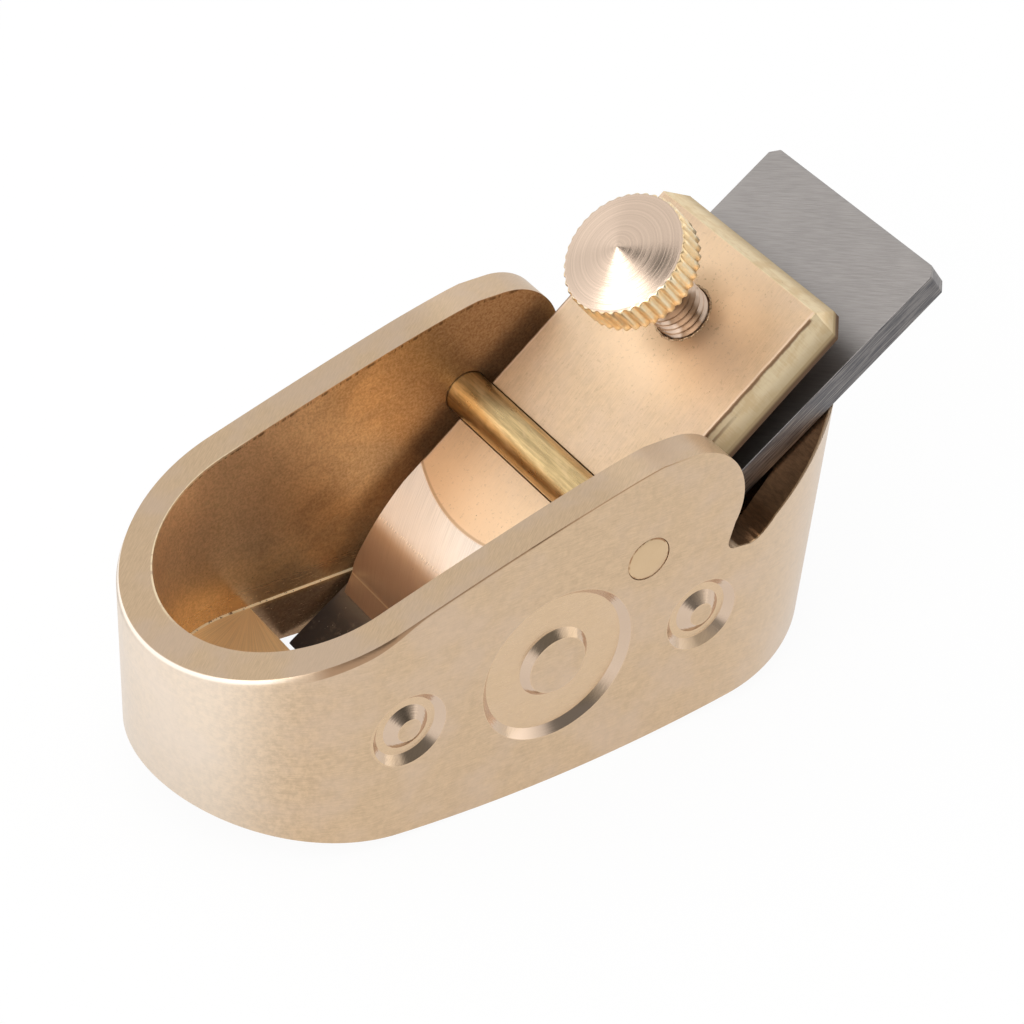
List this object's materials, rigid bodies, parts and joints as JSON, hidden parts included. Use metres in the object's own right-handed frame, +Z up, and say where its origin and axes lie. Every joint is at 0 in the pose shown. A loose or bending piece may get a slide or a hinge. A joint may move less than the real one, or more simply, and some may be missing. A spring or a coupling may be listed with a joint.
{
  "type": "finger plane",
  "caption": "Small cast brass finger plane for instrument makers: open body with round ends, convex sole and finger wells, lever cap on a cross pin, splined thumb screw and flat steel iron",
  "frame": {"origin": "on the lowest line of the convex sole, midway across the body", "axes": "+X towards the toe, the rounded front end, +Y across the body, +Z up, away from the work"},
  "size_m": [0.0725, 0.03, 0.0438],
  "materials": {
    "cast_brass": "satin, brushed",
    "pin_brass": "drawn bar, polished",
    "turned_brass": "turned, bright",
    "tool_steel": "surface ground"
  },
  "bodies": {
    "body": {"body": "cast_brass", "cross_pin": "pin_brass"},
    "iron": {"iron": "tool_steel"},
    "lever_cap": {"lever_cap": "cast_brass"},
    "thumb_screw": {"thumb_screw": "turned_brass"}
  },
  "joints": [
    {"name": "blade_slide", "type": "slide", "parent": "body", "child": "iron", "axis": [-0.8028, 0, 0.5962], "range_m": [-0.001, 0.03]},
    {"name": "cap_rock", "type": "hinge", "parent": "body", "child": "lever_cap", "pos_m": [-0.0084, 0, 0.02055], "axis": [0, -1, 0], "range_deg": [0, 8]},
    {"name": "screw_travel", "type": "slide", "parent": "lever_cap", "child": "thumb_screw", "axis": [0.6494, 0, 0.7604], "range_m": [0, 0.0025]}
  ],
  "couplings": [
    {"joint": "screw_travel", "follows": "cap_rock", "m_per_rad": 0.0174}
  ]
}
